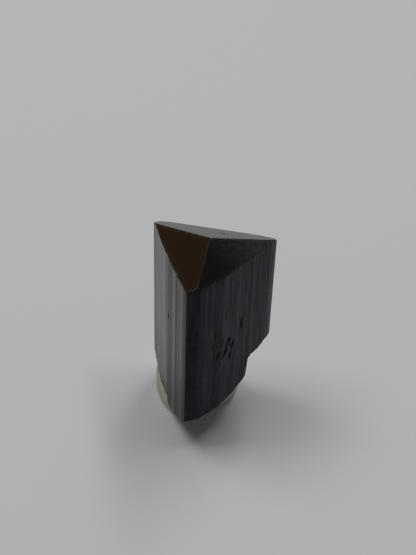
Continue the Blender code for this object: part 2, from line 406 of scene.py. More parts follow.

# %% [markdown]
# ## Growth pits
# A cluster of small pits and slashes marks one side, where other crystals once touched it. Each is a
# shallow spindle-shaped dent. Its row says which side it is on, how far along and how high up, and then
# its length, width, depth and tilt, so the depth at any point of the side is one short formula. The
# same number, kept as an attribute, later darkens the dents with painted shade and roughens them.

# %% Press the pits in
PITS = (
    ("right", 0.93, 10.55, 1.30, 0.34, 0.060, -3.0),
    ("right", -1.45, 10.02, 1.00, 0.20, 0.055, 6.0),
    ("right", -0.60, 9.78, 0.62, 0.44, 0.060, 14.0),
    ("right", -0.84, 9.38, 0.66, 0.34, 0.045, 28.0),
    ("right", -0.46, 9.12, 0.50, 0.26, 0.040, -40.0),
    ("right", -0.96, 8.76, 0.86, 0.44, 0.085, 28.0),
    ("right", -0.12, 8.95, 1.20, 0.28, 0.060, 10.0),
    ("right", -0.38, 8.02, 0.84, 0.32, 0.060, 18.0),
    ("right", -1.82, 8.88, 0.80, 0.36, 0.055, 24.0),
    ("right", -1.27, 8.42, 0.50, 0.30, 0.045, 20.0),
    ("right", -1.52, 9.20, 0.50, 0.22, 0.030, 20.0),
    ("right", -3.86, 15.20, 0.34, 0.20, 0.050, 0.0),
    ("right", -1.13, 10.81, 0.36, 0.20, 0.025, 0.0),
    ("right", -2.16, 11.1, 0.90, 0.10, 0.030, 0.0),
    ("right", -2.47, 10.2, 0.80, 0.16, 0.030, 0.0),
    ("right", -1.69, 7.9, 0.50, 0.34, 0.020, 15.0),
    ("left", -0.40, 10.85, 0.95, 0.55, 0.060, 0.0),
)
PIT_STEEPNESS = 2.2


def dent(pit):
    """How deep one pit is at every point of the sides."""
    label, place, height, length, width, depth, tilt = pit
    turn = math.radians(tilt)
    dx, dz = along - place, levels - height
    up = dx * math.sin(turn) + dz * math.cos(turn)
    flank = dx * math.cos(turn) - dz * math.sin(turn)
    inside = 1.0 - (2 * up / length) ** 2 - (2 * flank / width) ** 2
    return np.where((labels == label) & (inside > 0), depth * np.clip(PIT_STEEPNESS * inside, 0, 1), 0.0)


dents = np.max([dent(pit) for pit in PITS], axis=0)
relief -= dents
print(len(PITS), "pits; the deepest reaches", dents.max().round(3), "mm")

# %% [markdown]
# ## The pyramid and the break as filled caps
# The sides are a grid, but the two ends are not: the rim has hundreds of corners, and the ridges have
# to stay sharp inside it. A Delaunay triangulation with fixed edges does both. It gets the rim, the
# ridges and a scatter of inner points, and returns well-shaped triangles between them.

# %% Fill a cap
LOOSENESS = 0.3


def scatter(spacing, seed):
    """Points on a loosened grid over the whole plan."""
    reach = np.abs(base_plan).max()
    grid = np.arange(-reach, reach, spacing)
    places = np.stack(np.meshgrid(grid, grid), -1).reshape(-1, 2)
    return places + np.random.default_rng(seed).uniform(-LOOSENESS, LOOSENESS, places.shape) * spacing


def room_to_rim(places, rim_places):
    """How far places lie inside the rim, measured along the lines that meet at the axis."""
    around = np.arctan2(rim_places[:, 1], rim_places[:, 0])
    order = np.argsort(around)
    reach = np.hypot(*rim_places.T)[order]
    here = np.arctan2(places[:, 1], places[:, 0])
    return np.interp(here, around[order], reach, period=2 * math.pi) - np.hypot(*places.T)


def fill_cap(rim_places, inner, creases=()):
    """Triangles over a rim and the points inside it. Creases are runs of inner points that stay edges."""
    count = len(rim_places)
    places = [Vector(place) for place in np.vstack((rim_places, inner))]
    edges = [(i, (i + 1) % count) for i in range(count)]
    for crease in creases:
        edges += list(zip(crease, crease[1:]))
    result = geometry.delaunay_2d_cdt(places, edges, [list(range(count))], 1, 1e-7)
    made, _, triangles, origins = result[:4]
    back = [origin[0] if origin else None for origin in origins]
    if None in back:
        raise ValueError("the cap's edges cross each other")
    return [[back[corner] for corner in triangle] for triangle in triangles]


# %% [markdown]
# The points of the pyramid cap come in three kinds: lines of points down the ridges with a close
# neighbour on each side, for small chips, two rings just inside the rim, and the scatter.

# %% Points of the pyramid
RIDGE_STEP = 0.06
RIDGE_SIDES = (0.012, 0.085)
RIM_BEVEL = 0.025
RIM_RINGS = (0.08, 0.15)
RIM_ROOM, RIDGE_ROOM, APEX_ROOM = 0.05, (0.12, 0.13), 0.1
FACE_SPACING, FACE_SEED = 0.105, 5
FAR, CROWDED = 9, 2.5


def drawn_in(places, gap):
    """Places moved towards the axis by a gap."""
    return places * (1 - gap / np.hypot(*places.T))[:, None]


def ridge_distance(places):
    """How far places lie from the nearest ridge of the pyramid."""
    return np.min([
        np.abs(places @ sideways(facing(azimuth))) + FAR * (places @ facing(azimuth) < 0)
        for azimuth in RIDGES
    ], axis=0)


top_plan = base_plan + normals * relief[-1][:, None]
rim_places = drawn_in(top_plan, RIM_BEVEL)
inner, creases = [np.zeros((1, 2))], []
apex = len(rim_places)
total = 1
for column in ridge_columns:
    end = rim_places[column]
    length = np.hypot(*end)
    direction = end / length
    steps = np.arange(RIDGE_STEP, length - RIDGE_STEP / 2, RIDGE_STEP)
    creases.append([column] + [apex + total + i for i in reversed(range(len(steps)))] + [apex])
    inner.append(steps[:, None] * direction)
    total += len(steps)
    for side in RIDGE_SIDES:
        for sign in (-1, 1):
            beside = steps[steps > CROWDED * side, None] * direction + sign * side * sideways(direction)
            beside = beside[room_to_rim(beside, rim_places) > RIM_ROOM]
            inner.append(beside)
            total += len(beside)
for ring in RIM_RINGS:
    shrunk = drawn_in(rim_places, ring)
    inner.append(shrunk[ridge_distance(shrunk) > RIDGE_ROOM[0]][::2])
face_points = scatter(FACE_SPACING, FACE_SEED)
roomy = room_to_rim(face_points, rim_places) > RIM_RINGS[-1] + RIM_ROOM
roomy &= (ridge_distance(face_points) > RIDGE_ROOM[1]) & (np.hypot(*face_points.T) > APEX_ROOM)
inner.append(face_points[roomy])
inner = np.vstack(inner)
pyramid_places = np.vstack((rim_places, inner))
pyramid_triangles = fill_cap(rim_places, inner, creases)
print("the pyramid has", len(pyramid_triangles), "triangles")

# %% [markdown]
# The faces of the pyramid are not quite flat. The one at the front right is etched all over, in low
# blisters and small hollows. The other two only swell a little. The relief fades out at the ridges and
# at the rim, so that both stay straight.

# %% Relief of the pyramid
FACE_RELIEF = {"left": ((1.6, 0.006), (0.5, 0.0012)), "back": ((1.4, 0.004), (0.4, 0.001)),
               "right": ((0.9, 0.010), (0.26, 0.0065), (0.13, 0.003))}
RELIEF_FADE, RELIEF_LAYER = 0.15, 3.0


def bumps(place, octaves):
    return sum(
        relief * noise.noise(Vector((place[0] / scale, place[1] / scale, RELIEF_LAYER * scale)))
        for scale, relief in octaves
    )


faces_here = reaches(pyramid_places).argmax(0)
from_ridge = ridge_distance(pyramid_places)
from_rim = room_to_rim(pyramid_places, top_plan)
pyramid_z = pyramid_height(pyramid_places)
swell = np.array([bumps(p, FACE_RELIEF[names[face]]) for p, face in zip(pyramid_places, faces_here)])
pyramid_z += swell * np.clip(from_ridge / RELIEF_FADE, 0, 1) * np.clip(from_rim / RELIEF_FADE, 0, 1)
print("the faces swell by up to", np.abs(swell).max().round(4), "mm")

# %% [markdown]
# The base is filled in the same way. Its step is nearly upright, so rows of points follow it closely:
# evenly spread points would leave the step ragged.

# %% Points of the break
BREAK_SPACING, BREAK_SEED = 0.12, 9
STEP_LINES, STEP_SHARES = 22, (-0.15, 1.15)
STEP_SPACING, STEP_REACH = 0.10, (-6.0, 3.2)
STEP_ROOM, SOLE_ROOM = 0.75 * RISER_WIDTH, 0.06
bottom_plan = base_plan + normals * relief[0][:, None]
sole_places = drawn_in(bottom_plan, RIM_BEVEL)
right = facing(AZIMUTHS["right"])
inward = np.arange(*STEP_REACH, STEP_SPACING)
inner = []
for share in np.linspace(*STEP_SHARES, STEP_LINES):
    past = (share - 0.5) * RISER_WIDTH
    step_along = SHELF_START + past + RISER_WAVE * np.sin(WAVE_TURN * inward)
    inner.append(inward[:, None] * right + step_along[:, None] * sideways(right))
loose = scatter(BREAK_SPACING, BREAK_SEED)
past = loose @ sideways(right) - SHELF_START - RISER_WAVE * np.sin(WAVE_TURN * (loose @ right))
inner.append(loose[np.abs(past) > STEP_ROOM])
inner = np.vstack(inner)
inner = inner[room_to_rim(inner, sole_places) > SOLE_ROOM]
break_places = np.vstack((sole_places, inner))
break_triangles = fill_cap(sole_places, inner)
break_z = break_heights(break_places)
print("the break has", len(break_triangles), "triangles")

# %% [markdown]
# ## One closed mesh
# The sides, the two caps and a narrow bevel at each rim become one mesh. The points are numbered in
# turn: first the grid of the sides, then the pyramid, then the break. Each face also gets the number of
# its finish. The sides are satin or glossy, and the three faces of the pyramid each have their own.

# %% Join the parts
column_count, row_count = len(labels), len(levels)
side_places = base_plan[None] + normals[None] * relief[..., None]
side_z = levels.copy()
side_z[-1] = pyramid_height(side_places[-1]) - EDGE_ROWS[0]
crystal_points = np.vstack((
    np.dstack((side_places, side_z)).reshape(-1, 3),
    np.column_stack((pyramid_places, pyramid_z)),
    np.column_stack((break_places, break_z)),
))
pyramid_start = row_count * column_count
break_start = pyramid_start + len(pyramid_places)
GLOSSY, SATIN, CLEAR, ETCHED, BROKEN, BACK = range(6)
FACE_FINISHES = (CLEAR, ETCHED, BACK)
SATIN_FACES = ("right", "back", "facet at -87", "facet at -56", "facet at 12.5", "facet at 49")
GLOSSY_EDGE = 4.22
side_finish = np.where(np.isin(labels, SATIN_FACES), SATIN, GLOSSY)
side_finish[(labels == "right") & (along > GLOSSY_EDGE)] = GLOSSY


def band(lower, upper, count):
    """Four-cornered faces between two closed rows of count points, given by their first points."""
    here = np.arange(count)
    after = (here + 1) % count
    return np.stack((lower + here, lower + after, upper + after, upper + here), 1)


starts = [break_start] + [row * column_count for row in range(row_count)] + [pyramid_start]
quads = [band(lower, upper, column_count) for lower, upper in zip(starts[1:], starts[2:])]
quads.append(band(*starts[:2], column_count))
crystal_faces = np.vstack(quads).tolist()
crystal_finishes = list(np.tile(side_finish, len(quads)))


def facing_up(places, triangle):
    a, b, c = (places[i] for i in triangle)
    return (b[0] - a[0]) * (c[1] - a[1]) - (b[1] - a[1]) * (c[0] - a[0]) > 0


for triangle in pyramid_triangles:
    ordered = triangle if facing_up(pyramid_places, triangle) else triangle[::-1]
    crystal_faces.append([pyramid_start + i for i in ordered])
    heart = pyramid_places[triangle].mean(0)
    crystal_finishes.append(FACE_FINISHES[reaches(heart).argmax()])
for triangle in break_triangles:
    ordered = triangle[::-1] if facing_up(break_places, triangle) else triangle
    crystal_faces.append([break_start + i for i in ordered])
    crystal_finishes.append(BROKEN)
print(len(crystal_points), "points and", len(crystal_faces), "faces")

# %% [markdown]
# ## Chips
# Tourmaline is hard but brittle, so its edges carry tiny scalloped chips. A chip is what a small ball
# would take out of the edge: every point that falls inside the ball is pushed back onto its surface.
# A few larger chips have their own places, and so has a small pock on the back face. Many small chips
# are scattered with a fixed seed. The front ridge stays clean: only the other two get scattered chips.

# %% Ball-shaped chips
CHIP_COUNTS = {"rim": 70, "ridge": 34, "corner": 60, "foot": 60}
RIM_CHIPS = (
    ("facet at -87", -1.48, 0.20, 0.085), ("facet at -87", -1.22, 0.12, 0.045),
    ("facet at -87", -1.00, 0.12, 0.040), ("right", -2.73, 0.16, 0.055), ("right", -2.50, 0.13, 0.045),
    ("right", -0.20, 0.16, 0.060), ("right", -0.03, 0.12, 0.045), ("right", 0.38, 0.14, 0.050),
)
RIDGE_CHIPS = (
    (0.14, 0.07, 0.025), (0.35, 0.10, 0.035), (0.55, 0.13, 0.050), (0.90, 0.08, 0.025),
    (1.20, 0.12, 0.040), (1.75, 0.12, 0.045), (2.30, 0.08, 0.025),
)
POCK = (-0.59, 2.33, 0.24, 0.06)
RIDGE_ON_THE_RIGHT = 1
RIDGE_CHOICES = (1, 2)
CHIP_RADII = (0.05, 0.16)
CHIP_DEPTH, SHALLOWEST = 0.30, 0.4
RIM_CHIP_UP, EDGE_CHIP_UP = 0.8, 0.6
TOWARDS_THE_TIP = 1.4
RIDGE_CHIP_SHARES = (0.8, 0.5)
RIDGE_CHIP_OUT = 0.2
CHIP_SEED = 77
chance = np.random.default_rng(CHIP_SEED)
slope_out, slope_up = math.sin(PYRAMID_SLOPE), math.cos(PYRAMID_SLOPE)
chipped = np.zeros(len(crystal_points))


def chip(point, outward, radius, depth):
    """Takes a ball-shaped bite out of the crystal at a point of an edge."""
    outward = np.array(outward) / np.linalg.norm(outward)
    centre = np.array(point) + outward * (radius - depth)
    offset = crystal_points - centre
    reach = np.linalg.norm(offset, axis=1)
    bitten = reach < radius
    crystal_points[bitten] = centre + offset[bitten] / reach[bitten, None] * radius
    chipped[bitten] = 1.0
    return bitten


def random_size():
    radius = CHIP_RADII[0] + (CHIP_RADII[1] - CHIP_RADII[0]) * chance.random() ** 2
    return radius, radius * CHIP_DEPTH * chance.uniform(SHALLOWEST, 1.0)


def on_pyramid(place):
    """The point of the pyramid over a place of the plan."""
    return (*place, pyramid_height(place[None])[0])


for label, place, radius, depth in RIM_CHIPS:
    column = np.abs(np.where(labels == label, along - place, np.inf)).argmin()
    chip((*top_plan[column], rim[column]), (*normals[column], RIM_CHIP_UP), radius, depth)
end = rim_places[ridge_columns[RIDGE_ON_THE_RIGHT]]
for reach, radius, depth in RIDGE_CHIPS:
    chip(on_pyramid(end / np.hypot(*end) * reach), (0.0, 0.0, 1.0), radius, depth)
back_way = facing(AZIMUTHS["back"])
pock_place = sideways(back_way) * POCK[0] + back_way * POCK[1]
pock = chip(on_pyramid(pock_place), (*(back_way * slope_out), slope_up), *POCK[2:])
ENDS = (("rim", top_plan, rim, EDGE_CHIP_UP), ("foot", bottom_plan, foot, -EDGE_CHIP_UP))
for key, ring, heights, up in ENDS:
    for _ in range(CHIP_COUNTS[key]):
        column = chance.integers(column_count)
        chip((*ring[column], heights[column]), (*normals[column], up), *random_size())
for _ in range(CHIP_COUNTS["ridge"]):
    column = ridge_columns[RIDGE_CHOICES[chance.integers(len(RIDGE_CHOICES))]]
    place = rim_places[column] * chance.random() ** TOWARDS_THE_TIP
    out = place / np.hypot(*place) * RIDGE_CHIP_OUT
    radius, depth = (size * share for size, share in zip(random_size(), RIDGE_CHIP_SHARES))
    chip(on_pyramid(place), (*out, 1.0), radius, depth)
corner_columns = np.flatnonzero(labels != np.roll(labels, -1))
for _ in range(CHIP_COUNTS["corner"]):
    column = corner_columns[chance.integers(len(corner_columns))]
    point = base_plan[column]
    height = chance.uniform(foot[column], rim[column])
    outward = normals[column] + normals[(column + 1) % column_count]
    chip((*point, height), (*outward, 0.0), *random_size())
print(int(chipped.sum()), "points lie in chips")

# %% [markdown]
# Materials need to know where an edge is, which way a face's lines run, and where the pits are. One
# more value is painted light and shade: it says how strong a finish's pattern is, and so how light its
# colour is. On the right side and a front corner facet it lies in bands of painted sheen, standing in for
# the reflections of the growth layers. It makes the sides darker towards the foot and in a narrow band
# just under the rim, as painted shade, and on the etched face it grows from the ridge outwards as a
# painted highlight. The right side's table of bands was worked out by a fit too. Such facts are stored
# on the points as named attributes, and a material reads them by name.

# %% Attributes
EDGE_REACH = 0.10
FRONT_RIDGE_ZONE, FRONT_RIDGE_REACH = 0.3, 0.03
GRAIN_STEP = 7.0
FULL_PIT = 0.06
ETCHED_SIDE = names.index("right")
FOOT_SHADE, FOOT_SHADE_TOP = 0.45, 6.0
RIM_SHADE, RIM_SHADE_WIDTH = 0.95, 0.15
HIGHLIGHT_START, HIGHLIGHT_WIDTH, HIGHLIGHT_POWER = -2.2, 4.8, 1.7
# Painted sheen: lighter and darker bands along the right side and the front corner facet, standing in for the
# reflections of the growth lines.
SHEEN_BANDS = {
    "facet at -87": ((-1.96, 1.30), (-1.72, 1.25), (-1.62, 0.60), (-1.10, 0.60), (-0.85, 0.90)),
    "right": (
        (-4.46, 1.12), (-4.23, 0.96), (-3.95, 1.6), (-3.61, 0.55), (-3.26, 1.5), (-2.97, 0.88),
        (-2.56, 0.54), (-2.26, 0.62), (-1.9, 1.18), (-1.54, 1.12), (-0.99, 1.6), (-0.56, 1.26),
        (-0.25, 1.65), (0.06, 0.85), (0.51, 1.22), (0.95, 1.02), (1.47, 0.79), (1.87, 0.65),
        (2.13, 0.47), (2.46, 1.12), (2.93, 0.7), (3.47, 0.8), (3.89, 1.3),
    ),
}
row_from_rim = np.minimum(rim - levels, levels - foot)
side_edge = np.exp(-np.minimum(row_from_rim, from_corner[None]) / EDGE_REACH)
front = facing(RIDGES[0])
near_front_line = np.abs(pyramid_places @ sideways(front)) < FRONT_RIDGE_ZONE
ridge_reach = np.where((pyramid_places @ front > 0) & near_front_line, FRONT_RIDGE_REACH, EDGE_REACH)
pyramid_edge = np.exp(-np.minimum(from_ridge, from_rim) / ridge_reach)
break_edge = np.exp(-room_to_rim(break_places, bottom_plan) / EDGE_REACH)
edge_values = np.concatenate((side_edge.ravel(), pyramid_edge, break_edge)).clip(0, 1)

side_numbers = {label: index for index, label in enumerate(BEARINGS)}
side_code = np.array([GRAIN_STEP * side_numbers[label] for label in labels])
shape = levels.shape
side_grain = np.dstack((np.broadcast_to(along, shape), levels, np.broadcast_to(side_code, shape)))
pyramid_grain = np.zeros((len(pyramid_places), 3))
for index, azimuth in enumerate(AZIMUTHS.values()):
    here = faces_here == index
    pyramid_grain[here, 0] = pyramid_places[here] @ sideways(facing(azimuth))
    pyramid_grain[here, 1] = pyramid_places[here] @ facing(azimuth) / math.cos(PYRAMID_SLOPE)
    pyramid_grain[here, 2] = GRAIN_STEP * index
break_grain = np.column_stack((break_places, break_z))
grain_values = np.vstack((side_grain.reshape(-1, 3), pyramid_grain, break_grain))
pit_values = pock.astype(float)
pit_values[:pyramid_start] = (dents / FULL_PIT).clip(0, 1).ravel()
# Painted light and shade, one value a point: a lower value makes a finish's colour darker.
sheen_and_shade_values = np.ones(len(crystal_points))
side_sheen_and_shade = np.ones(shape)
for label, table in SHEEN_BANDS.items():
    side_sheen_and_shade[:, labels == label] = np.interp(along[labels == label], *zip(*table))
# Painted shade: the sides grow darker towards the foot.
side_sheen_and_shade *= 1.0 - FOOT_SHADE * ((FOOT_SHADE_TOP - levels) / FOOT_SHADE_TOP).clip(0, 1)
# Painted shade: the sides grow darker in a narrow band just under the rim.
below_rim = np.maximum(rim - levels - RIM_SHADE_WIDTH, 0.0) / RIM_SHADE_WIDTH
side_sheen_and_shade *= 1.0 - RIM_SHADE * np.exp(-below_rim ** 2)
sheen_and_shade_values[:pyramid_start] = side_sheen_and_shade.ravel()
# Painted highlight: the etched face grows lighter from the ridge outwards, standing in for what it reflects.
etched = np.flatnonzero(faces_here == ETCHED_SIDE)
painted_highlight = ((pyramid_grain[etched, 0] - HIGHLIGHT_START) / HIGHLIGHT_WIDTH).clip(0, 1) ** HIGHLIGHT_POWER
sheen_and_shade_values[pyramid_start + etched] = painted_highlight
print("edge, grain, pit, chip and film are known at", len(edge_values), "points")


# %% [markdown]
# A small helper turns points in millimetres, measured from the long axis, into an object in metres.
# The attributes go on its points: the grain is a vector, the others are single numbers. The piece
# rides on the body of the frame and stands for the plain solid, which stays hidden.

# %% Make the crystal object
def into_scene(name, data):
    """A new object with the given data."""
    made = bpy.data.objects.new(name, data)
    bpy.context.scene.collection.objects.link(made)
    return made


def make_piece(name, points, faces, finishes=None):
    """An object in metres from points in millimetres."""
    mesh = bpy.data.meshes.new(name)
    placed = (points + np.array((*AXIS, 0.0))) * MM
    mesh.from_pydata(placed.tolist(), [], faces)
    if finishes is not None:
        mesh.polygons.foreach_set("material_index", finishes)
    mesh.validate()
    return into_scene(name, mesh)


CREASE_ANGLE = math.radians(16)
crystal = make_piece("schorl_crystal", crystal_points, crystal_faces, crystal_finishes)
# One of these attributes carries painted light and shade, not a property of the crystal.
ATTRIBUTES = {
    "grain": grain_values, "edge": edge_values, "pit": pit_values, "chip": chipped, "film": sheen_and_shade_values,
}
for name, values in ATTRIBUTES.items():
    vector = values.ndim == 2
    kept = crystal.data.attributes.new(name, "FLOAT_VECTOR" if vector else "FLOAT", "POINT")
    flat = np.ascontiguousarray(values, dtype=np.float32).ravel()
    kept.data.foreach_set("vector" if vector else "value", flat)
crystal.data.shade_smooth()
crystal.data.set_sharp_from_angle(angle=CREASE_ANGLE)
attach(crystal, "root")
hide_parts("tourmaline_crystal")
print(crystal.name, "has", sum(len(p.vertices) - 2 for p in crystal.data.polygons), "triangles")

# %% [markdown]
# ## The putty
# Mounting putty is a soft, matt clay. A lump is rolled, set down and the crystal is pressed in, so it
# bulges at the foot, its top takes the shape of the break, and a low lip stands up round the crystal.
# It could be sculpted, but a ring of points round its edge and one profile from the foot to the middle
# give the same lump, and the press is one rule: under the crystal, no point may be higher than the
# broken base. Each row of the ring says where the edge is and how high the lump stands there.

# %% The lump before the press
PUTTY_MIDDLE = (-0.9, 1.9, 3.3)
PUTTY_EDGE = (
    (-4.22, 3.80, 2.2), (-4.34, 2.80, 1.9), (-4.20, 1.70, 1.7), (-3.90, 0.70, 1.6),
    (-3.45, -0.25, 1.5), (-2.80, -1.00, 1.5), (-1.50, -1.45, 1.5), (-0.10, -1.20, 1.7),
    (1.25, -0.15, 1.7), (2.35, 0.95, 1.9), (2.90, 2.30, 2.5), (2.80, 3.50, 2.9),
    (1.75, 4.15, 2.9), (0.00, 4.45, 2.8), (-2.00, 4.85, 2.9), (-3.50, 4.70, 2.6),
)
PUTTY_PROFILE = (
    (0.05, 0.0), (0.01, 0.16), (0.0, 0.42), (0.02, 0.68), (0.08, 0.88), (0.18, 0.97),
    (0.36, 1.0), (0.66, 1.0), (1.0, 1.0),
)
PROFILE_ROWS, PROFILE_CROWDING = 52, 0.9
EDGE_STEPS = 14
FLOOR_SKIN = 0.001
PUTTY_LUMPS = ((1.4, 0.09), (0.45, 0.03), (0.16, 0.008))
CONTACT = 0.02
HUG = 0.06


def between(points, steps):
    """A closed smooth curve through points, as a Catmull-Rom spline with steps spans a point."""
    points = np.array(points)
    a, b, c, d = (np.roll(points, shift, axis=0)[:, None] for shift in (1, 0, -1, -2))
    t = (np.arange(steps) / steps)[None, :, None]
    bend, twist = a - b * 2.5 + c * 2 - d / 2, b * 1.5 - a / 2 - c * 1.5 + d / 2
    curve = b + (c - a) * t / 2 + bend * t ** 2 + twist * t ** 3
    return curve.reshape(-1, points.shape[1])


edge_ring = between(PUTTY_EDGE, EDGE_STEPS)
putty_middle = np.array(PUTTY_MIDDLE)
insets, rises = zip(*PUTTY_PROFILE)
spread = np.linspace(0, 1, PROFILE_ROWS) ** PROFILE_CROWDING * (len(insets) - 1)
rows = []
for spot in spread[:-1]:
    inset = np.interp(spot, range(len(insets)), insets)
    rise = np.interp(spot, range(len(rises)), rises)
    ring = edge_ring + (putty_middle - edge_ring) * inset
    ring[:, 2] *= rise
    rows.append(ring)
putty_points = np.array(rows)
print("the lump has", len(rows), "rings of", len(edge_ring), "points")

# %% [markdown]
# The press: inside the crystal's plan the putty stops just past the broken surface, so that the two
# touch, and outside it the lip stands up a little before the surface falls away. Four thumb marks round
# the lump show that it was pushed in by hand.

# %% Press the crystal in
THUMB_MARKS = (
    (-4.3, 2.6, 1.1, 0.9, 0.16), (0.6, -0.6, 1.0, 0.8, 0.15),
    (2.9, 2.6, 1.6, 1.0, 0.18), (-1.4, 4.9, 1.5, 1.1, 0.16),
)


def pressed(point, lump_direction):
    """One point of the putty after its lumps, its thumb marks and the crystal's weight."""
    x, y, z = point
    if z > FLOOR_SKIN:
        swell = sum(
            relief * noise.noise(Vector((x / scale, y / scale, z / scale + scale)))
            for scale, relief in PUTTY_LUMPS
        )
        x, y, z = x + lump_direction[0] * swell, y + lump_direction[1] * swell, z + swell
    for mx, my, mz, radius, depth in THUMB_MARKS:
        near = 1.0 - ((x - mx) ** 2 + (y - my) ** 2 + (z - mz) ** 2) / radius ** 2
        if near > 0:
            x, y = x - lump_direction[0] * depth * near, y - lump_direction[1] * depth * near
    room = room_to_rim(np.array([(x, y)]), base_plan)[0]
    under_the_break = min(z, break_height(x, y) + CONTACT)
    return x, y, under_the_break + (z - under_the_break) * smooth_step(1.0 - room / HUG)


outward = edge_ring[:, :2] - putty_middle[:2]
outward /= np.hypot(*outward.T)[:, None]
putty_points = np.array([
    [pressed(point, direction) for point, direction in zip(ring, outward)] for ring in putty_points
])
ring_size = len(edge_ring)
peak = pressed(PUTTY_MIDDLE, (0.0, 0.0))
putty_mesh_points = np.vstack((putty_points.reshape(-1, 3), (peak,), ((*PUTTY_MIDDLE[:2], 0.0),)))
top_point, sole_point = len(putty_mesh_points) - 2, len(putty_mesh_points) - 1
last = (len(rows) - 1) * ring_size
putty_faces = []
for lower in range(0, last, ring_size):
    putty_faces += band(lower, lower + ring_size, ring_size).tolist()
around = [(i, (i + 1) % ring_size) for i in range(ring_size)]
putty_faces += [[last + a, last + b, top_point] for a, b in around]
putty_faces += [[b, a, sole_point] for a, b in around]
putty = make_piece("mounting_putty_pad", putty_mesh_points, putty_faces)
putty.data.shade_smooth()
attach(putty, "root")
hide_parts("mounting_putty")
putty_height = putty_mesh_points[:, 2].max().round(2)
print(putty.name, "has", len(putty.data.polygons), "faces and is", putty_height, "mm high")

# %% [markdown]
# ## Node groups
# Six finishes of the crystal share three effects: fine growth lines, etched mottling and worn edges.
# The putty uses the mottling too. Each effect is a node group with named sockets, built once. A group
# only puts out masks and heights, and each material decides what they do to its colour, its
# roughness and its bumps.

# %% Helpers for nodes
def fill(tree, node, inputs):
    """Gives a node's inputs their values, or links them to another node's outputs."""
    for key, value in inputs.items():
        if isinstance(value, bpy.types.NodeSocket):
            tree.links.new(value, node.inputs[key])
        else:
            node.inputs[key].default_value = value


def place_node(tree, kind, inputs, **settings):
    """Adds a node, sets its options and fills its inputs."""
    made = tree.nodes.new(kind)
    for key, value in settings.items():
        setattr(made, key, value)
    fill(tree, made, inputs)
    return made


def start_group(name, inputs, outputs):
    """An empty node group with named float or vector inputs and float outputs."""
    group = bpy.data.node_groups.new(name, "ShaderNodeTree")
    for key, value in inputs.items():
        kind = "NodeSocketVector" if value is None else "NodeSocketFloat"
        socket = group.interface.new_socket(name=key, in_out="INPUT", socket_type=kind)
        if value is not None:
            socket.default_value = value
    for key in outputs:
        group.interface.new_socket(name=key, in_out="OUTPUT", socket_type="NodeSocketFloat")
    return group, group.nodes.new("NodeGroupInput").outputs, group.nodes.new("NodeGroupOutput").inputs


def fill_group(tree, group, inputs):
    """Places a node group and returns its outputs."""
    return place_node(tree, "ShaderNodeGroup", inputs, node_tree=group).outputs


def math_node(tree, operation, first, second, third=None, clamp=False):
    """One sum of two values, or of three where the operation takes them."""
    inputs = {0: first, 1: second} if third is None else {0: first, 1: second, 2: third}
    return place_node(tree, "ShaderNodeMath", inputs, operation=operation, use_clamp=clamp).outputs[0]


def remap(tree, value, low, high, to_low=0.0, to_high=1.0):
    """Stretches a value from one range to another."""
    inputs = {"Value": value, "From Min": low, "From Max": high, "To Min": to_low, "To Max": to_high}
    return place_node(tree, "ShaderNodeMapRange", inputs).outputs["Result"]


def noise_node(tree, vector, scale, detail, **inputs):
    """Noise at a place, as one value."""
    inputs = {"Vector": vector, "Scale": scale, "Detail": detail, **inputs}
    return place_node(tree, "ShaderNodeTexNoise", inputs).outputs["Fac"]


def blend(tree, share, first, second):
    """A mix of two colours, each a socket or three numbers."""
    first, second = ((*c, 1.0) if isinstance(c, tuple) else c for c in (first, second))
    return place_node(tree, "ShaderNodeMix", {0: share, 6: first, 7: second}, data_type="RGBA").outputs[2]


def new_material(name):
    """A material with its node tree and its shader."""
    material = bpy.data.materials.new(name)
    material.use_nodes = True
    return material, material.node_tree, material.node_tree.nodes["Principled BSDF"]


print("helpers ready")

# %% [markdown]
# Growth lines run along the prism. A noise texture that is squeezed across the lines and stretched
# along them gives streaks that begin and end at different heights, which a plain wave could not. Its
# place comes from the grain attribute: how far along the side, how high up, and which side.

# %% Group: growth lines
STREAK_LIMITS = (0.3, 0.7)
growth_lines, given, put = start_group(
    "growth lines", {"Grain": None, "Lines per mm": 6.0, "Line length": 3.0, "Seed": 0.0}, ("Lines", "Bands")
)
split = place_node(growth_lines, "ShaderNodeSeparateXYZ", {0: given["Grain"]}).outputs
for key, share, detail in (("Lines", 1.0, 2.0), ("Bands", 0.22, 1.0)):
    density = math_node(growth_lines, "MULTIPLY", given["Lines per mm"], share)
    across = math_node(growth_lines, "MULTIPLY", split["X"], density)
    upward = math_node(growth_lines, "DIVIDE", split["Y"], given["Line length"])
    layer = math_node(growth_lines, "ADD", split["Z"], given["Seed"])
    spot = place_node(growth_lines, "ShaderNodeCombineXYZ", {"X": across, "Y": upward, "Z": layer}).outputs[0]
    streaks = noise_node(growth_lines, spot, 1.0, detail, Roughness=0.6)
    growth_lines.links.new(remap(growth_lines, streaks, *STREAK_LIMITS), put[key])
print("group:", growth_lines.name)

# %% [markdown]
# Etched mottling is soft and blotchy at a tenth of a millimetre, with finer grain inside the blotches.

# %% Group: mottling
BLOTCH_LIMITS = (0.32, 0.68)
mottling, given, put = start_group(
    "mottling", {"Place": None, "Size": 0.3, "Seed": 0.0}, ("Blotches", "Grains")
)
for key, share, detail in (("Blotches", 1.0, 3.0), ("Grains", 6.0, 1.0)):
    scale = math_node(mottling, "DIVIDE", share, given["Size"])
    moved = {0: given["Place"], 1: given["Seed"]}
    shifted = place_node(mottling, "ShaderNodeVectorMath", moved, operation="ADD").outputs[0]
    spots = noise_node(mottling, shifted, scale, detail, Roughness=0.55)
    mottling.links.new(remap(mottling, spots, *BLOTCH_LIMITS), put[key])
print("group:", mottling.name)

# %% [markdown]
# Edges rub first. The edge attribute falls off from 1 on an edge, and noise breaks it up, so that the
# wear comes and goes along the edge as it does on a real one. A chip always shows some of it.

